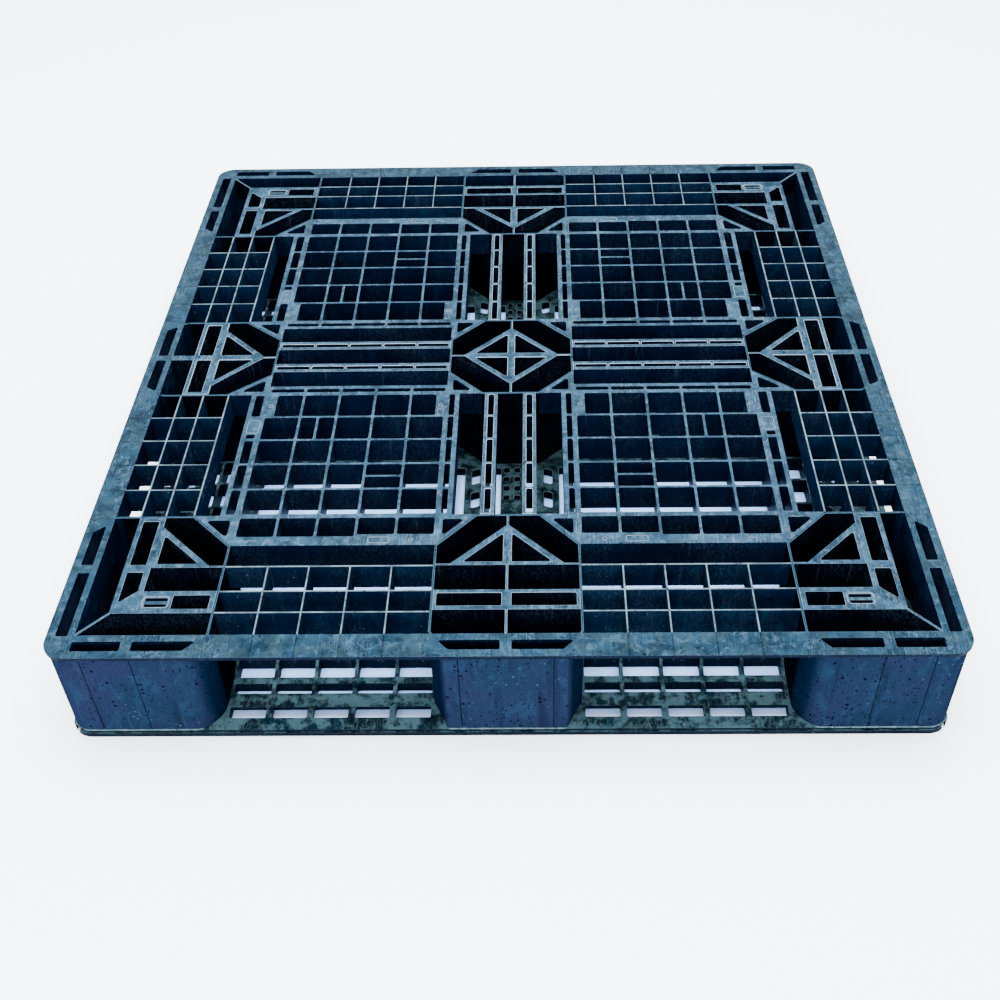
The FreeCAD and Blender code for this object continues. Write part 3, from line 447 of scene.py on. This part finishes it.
# One block of each kind: its outline in millimetres from the front left corner, and its corner radii.
BLOCKS = {
    "corner_front_left": ([(3, 3), (195, 3), (195, 188), (138, 245), (3, 245)], (25, 36, 2, 2, 36)),
    "middle_front": (
        [(476, 3), (624, 3), (643, 40), (643, 188), (592, 245), (508, 245), (457, 188), (457, 40)], 2),
    "middle_left": (
        [(3, 521), (40, 505), (135, 505), (195, 554), (195, 646), (135, 695), (40, 695), (3, 679)], 2),
    "centre": (
        [(508, 505), (592, 505), (643, 557), (643, 643), (592, 695), (508, 695), (457, 643), (457, 557)], 2),
}
# Each block and its mirror images, with the flips that make them.
COPIES = {
    "corner_front_left": [("corner_" + name, flips) for name, flips in QUARTERS.items()],
    "middle_front": [("middle_front", (False, False)), ("middle_back", (False, True))],
    "middle_left": [("middle_left", (False, False)), ("middle_right", (True, False))],
    "centre": [("centre", (False, False))],
}


def add_welds(material):
    """The bead at the foot of each block, where the two mouldings are welded."""
    for block, (points, radii) in BLOCKS.items():
        outline = from_corner(points)
        small = tuple(radius / 1000 for radius in radii) if isinstance(radii, tuple) else radii / 1000
        loop = divided(rounded_loop(outline, small), WELD_STEP)
        for name, flips in COPIES[block]:
            foot = mirrored(loop, *flips)
            bead("weld_" + name, foot, PAD_TOP, WELD_BEAD, material, WELD_UNEVENNESS)


def box_points(u_low, u_high, v_low, v_high):
    return [(u_low, v_low), (u_high, v_low), (u_high, v_high), (u_low, v_high)]


# Borders: their outline in millimetres from the front left corner, and its corner radius.
FRAMES = {
    "label_frame_front": (box_points(370.2, 397.8, 192.7, 203.3), 1.5),
    "label_frame_side": (box_points(176.7, 193.3, 417.2, 445.8), 1.5),
    "finger_frame": (box_points(104.2, 135.8, 81.2, 98.8), 5.0),
}
# The middles of the gate marks of one quarter, in the same way.
GATE_MARKS = ((204.0, 478.25), (449.0, 478.25), (425.5, 198.0))


def add_marks(material):
    """Raised borders round the blank plates, and the rings left by the moulding gates."""
    for quarter, flips in QUARTERS.items():
        for name, (points, radius) in FRAMES.items():
            loop = rounded_loop(from_corner(points), radius / 1000, 5)
            border = mirrored(loop, *flips)
            height = LOAD_FACE - BORDER_BEAD
            bead(name + "_" + quarter, border, height, BORDER_BEAD, material)
        for number, (u, v) in enumerate(GATE_MARKS):
            angles = [math.tau * i / RING_POINTS for i in range(RING_POINTS)]
            ring = [(u + RING_RADIUS * math.cos(a), v + RING_RADIUS * math.sin(a)) for a in angles]
            name = "gate_mark_" + quarter + "_" + str(number)
            height = LOAD_FACE - RING_BEAD
            bead(name, mirrored(from_corner(ring), *flips), height, RING_BEAD, material)


PALE_FLOOR = (0.88, 0.90, 0.93)
PAINTED_SHADOW_FLOOR = (0.34, 0.54, 0.95)
# The painted shadow colour fades in over this distance inside the pallet's outline, in metres.
SHADE_EDGE = 0.05


def add_floor():
    """A pale studio floor with a painted shadow: a little bluer under the pallet's outline."""
    bpy.ops.mesh.primitive_plane_add(size=30.0, location=(0, 0, -0.0005))
    floor = bpy.context.object
    floor.name = "floor"
    tree = Tree("floor")
    wide = tree.math("ABSOLUTE", tree.axis(tree.place, "X"))
    deep = tree.math("ABSOLUTE", tree.axis(tree.place, "Y"))
    painted_shadow_share = tree.times(
        tree.range(wide, HALF_X - SHADE_EDGE, HALF_X, 1.0, 0.0),
        tree.range(deep, HALF_Y - SHADE_EDGE, HALF_Y, 1.0, 0.0))
    tree.put(tree.mix(painted_shadow_share, PALE_FLOOR, PAINTED_SHADOW_FLOOR), tree.shader.inputs["Base Color"])
    tree.shader.inputs["Roughness"].default_value = 0.9
    tree.shader.inputs["Specular IOR Level"].default_value = 0.1
    floor.data.materials.append(tree.material)


LIT_POINT = Vector((0.0, 0.0, 0.1))


def add_light(name, place, size, power, colour):
    """A square lamp that points at the pallet."""
    data = bpy.data.lights.new(name, "AREA")
    data.size = size
    data.energy = power
    data.color = colour
    lamp = bpy.data.objects.new(name, data)
    scene.collection.objects.link(lamp)
    lamp.location = place
    direction = LIT_POINT - Vector(place)
    lamp.rotation_euler = direction.to_track_quat("-Z", "Y").to_euler()


def add_world():
    world = bpy.data.worlds.new("studio")
    scene.world = world
    world.use_nodes = True
    background = world.node_tree.nodes["Background"]
    background.inputs["Color"].default_value = (0.93, 0.96, 1.0, 1)
    background.inputs["Strength"].default_value = 4.3


def add_camera():
    """The camera stands before the front edge and looks down at the deck."""
    place = Vector((0.0403, -1.5574, 1.2598))
    down = math.radians(43.442)
    turn = math.radians(-1.383)
    tilt = math.radians(-1.341)
    ahead = Vector((math.sin(turn) * math.cos(down), math.cos(turn) * math.cos(down), -math.sin(down)))
    level = Vector((math.cos(turn), -math.sin(turn), 0.0))
    rise = level.cross(ahead)
    right = level * math.cos(tilt) + rise * math.sin(tilt)
    up = rise * math.cos(tilt) - level * math.sin(tilt)
    data = bpy.data.cameras.new("camera")
    data.sensor_width = 36.0
    data.lens = 45.02
    data.shift_x = -0.0171
    data.shift_y = 0.030
    camera = bpy.data.objects.new("camera", data)
    scene.collection.objects.link(camera)
    basis = Matrix((right, up, -ahead)).transposed().to_4x4()
    camera.matrix_world = Matrix.Translation(place) @ basis
    scene.camera = camera


add_world()
add_floor()
add_light("above", place=(0.0, 0.3, 3.0), size=3.0, power=560, colour=(0.92, 0.97, 1.0))
add_light("front", place=(-0.3, -3.2, 1.6), size=1.6, power=150, colour=(0.70, 0.84, 1.0))
add_camera()
plastics = make_materials()
dress_nodes(plastics)
add_welds(plastics["weld_plastic"])
add_marks(plastics["mark_plastic"])
